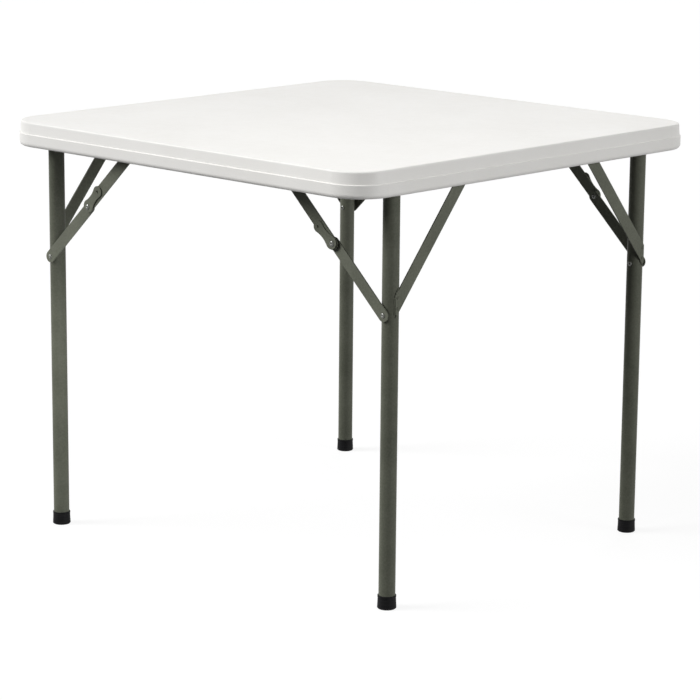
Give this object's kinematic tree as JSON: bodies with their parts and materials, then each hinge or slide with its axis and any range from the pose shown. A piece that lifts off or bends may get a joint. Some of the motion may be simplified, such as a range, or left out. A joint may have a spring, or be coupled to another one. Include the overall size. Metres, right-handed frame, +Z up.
{
  "type": "folding card table",
  "caption": "Square folding card table: a thin moulded top on tubular steel leg pairs that fold flat under it, with folding side braces, locking plates and fixed end straps.",
  "frame": {"origin": "on the floor under the middle of the top, with the legs open", "axes": "+Z up; +X from the wide leg pair to the narrow leg pair; +Y from the front side rail to the rear one"},
  "size_m": [0.864, 0.864, 0.737],
  "materials": {
    "top_plastic": "speckled white, fine moulded grain",
    "rail_paint": "grey-green hammered powder coat",
    "leg_paint": "grey-green hammered powder coat",
    "brace_paint": "grey-green hammered powder coat",
    "rivet_paint": "grey-green gloss paint",
    "screw_steel": "zinc plated",
    "nylon": "smooth",
    "foot_rubber": "satin black",
    "cap_plastic": "satin black"
  },
  "bodies": {
    "root": {"table_top": "top_plastic", "side_rail_front": "rail_paint", "side_rail_rear": "rail_paint", "rail_screws": "screw_steel", "left_pivot_bushes": "nylon", "left_anchor_rivets": "rivet_paint", "left_anchor_spacers": "rivet_paint", "right_pivot_bushes": "nylon", "right_anchor_rivets": "rivet_paint", "right_anchor_spacers": "rivet_paint"},
    "left_leg_pair": {"left_cross_tube": "leg_paint", "left_leg_front": "leg_paint", "left_leg_rear": "leg_paint", "left_strap_front": "leg_paint", "left_strap_rear": "leg_paint", "left_foot_front": "foot_rubber", "left_foot_rear": "foot_rubber", "left_strap_rivets": "leg_paint", "left_brace_rivets": "rivet_paint", "left_brace_washers": "rivet_paint", "left_tube_caps": "cap_plastic"},
    "left_lower_links": {"left_lower_link_front": "brace_paint", "left_lower_link_rear": "brace_paint", "left_knuckle_tails": "rivet_paint"},
    "left_upper_links": {"left_upper_link_front": "brace_paint", "left_upper_link_rear": "brace_paint", "left_knuckle_rivets": "rivet_paint"},
    "left_latch_front": {"left_latch_plate_front": "brace_paint"},
    "left_latch_rear": {"left_latch_plate_rear": "brace_paint"},
    "right_leg_pair": {"right_cross_tube": "leg_paint", "right_leg_front": "leg_paint", "right_leg_rear": "leg_paint", "right_strap_front": "leg_paint", "right_strap_rear": "leg_paint", "right_foot_front": "foot_rubber", "right_foot_rear": "foot_rubber", "right_strap_rivets": "leg_paint", "right_brace_rivets": "rivet_paint", "right_brace_washers": "rivet_paint", "right_tube_caps": "cap_plastic"},
    "right_lower_links": {"right_lower_link_front": "brace_paint", "right_lower_link_rear": "brace_paint", "right_knuckle_tails": "rivet_paint"},
    "right_upper_links": {"right_upper_link_front": "brace_paint", "right_upper_link_rear": "brace_paint", "right_knuckle_rivets": "rivet_paint"},
    "right_latch_front": {"right_latch_plate_front": "brace_paint"},
    "right_latch_rear": {"right_latch_plate_rear": "brace_paint"}
  },
  "joints": [
    {"name": "left_fold", "type": "hinge", "parent": "root", "child": "left_leg_pair", "pos_m": [-0.362, 0, 0.7085], "axis": [0, -1, 0], "range_deg": [0, 89]},
    {"name": "left_lower_brace", "type": "hinge", "parent": "left_leg_pair", "child": "left_lower_links", "pos_m": [-0.362, 0, 0.494], "axis": [0, -1, 0], "range_deg": [0, 46.33]},
    {"name": "left_upper_brace", "type": "hinge", "parent": "root", "child": "left_upper_links", "pos_m": [-0.136, 0, 0.7085], "axis": [0, -1, 0], "range_deg": [-43.35, 0]},
    {"name": "left_latch_front_swing", "type": "hinge", "parent": "left_upper_links", "child": "left_latch_front", "pos_m": [-0.25317, -0.3948, 0.59729], "axis": [0, 1, 0], "range_deg": [0, 9]},
    {"name": "left_latch_rear_swing", "type": "hinge", "parent": "left_upper_links", "child": "left_latch_rear", "pos_m": [-0.25317, 0.3948, 0.59729], "axis": [0, -1, 0], "range_deg": [0, 9]},
    {"name": "right_fold", "type": "hinge", "parent": "root", "child": "right_leg_pair", "pos_m": [0.39312, 0, 0.7085], "axis": [0, 1, 0], "range_deg": [0, 90]},
    {"name": "right_lower_brace", "type": "hinge", "parent": "right_leg_pair", "child": "right_lower_links", "pos_m": [0.39312, 0, 0.494], "axis": [0, 1, 0], "range_deg": [0, 46.55]},
    {"name": "right_upper_brace", "type": "hinge", "parent": "root", "child": "right_upper_links", "pos_m": [0.16712, 0, 0.7085], "axis": [0, 1, 0], "range_deg": [-43.55, 0]},
    {"name": "right_latch_front_swing", "type": "hinge", "parent": "right_upper_links", "child": "right_latch_front", "pos_m": [0.28429, -0.3409, 0.59729], "axis": [0, 1, 0], "range_deg": [0, 9]},
    {"name": "right_latch_rear_swing", "type": "hinge", "parent": "right_upper_links", "child": "right_latch_rear", "pos_m": [0.28429, 0.3409, 0.59729], "axis": [0, -1, 0], "range_deg": [0, 9]}
  ],
  "couplings": [
    {"joint": "left_lower_brace", "follows": "left_fold", "ratio": 0.52002},
    {"joint": "left_upper_brace", "follows": "left_fold", "ratio": -0.48656},
    {"joint": "right_lower_brace", "follows": "right_fold", "ratio": 0.51662},
    {"joint": "right_upper_brace", "follows": "right_fold", "ratio": -0.48338}
  ]
}
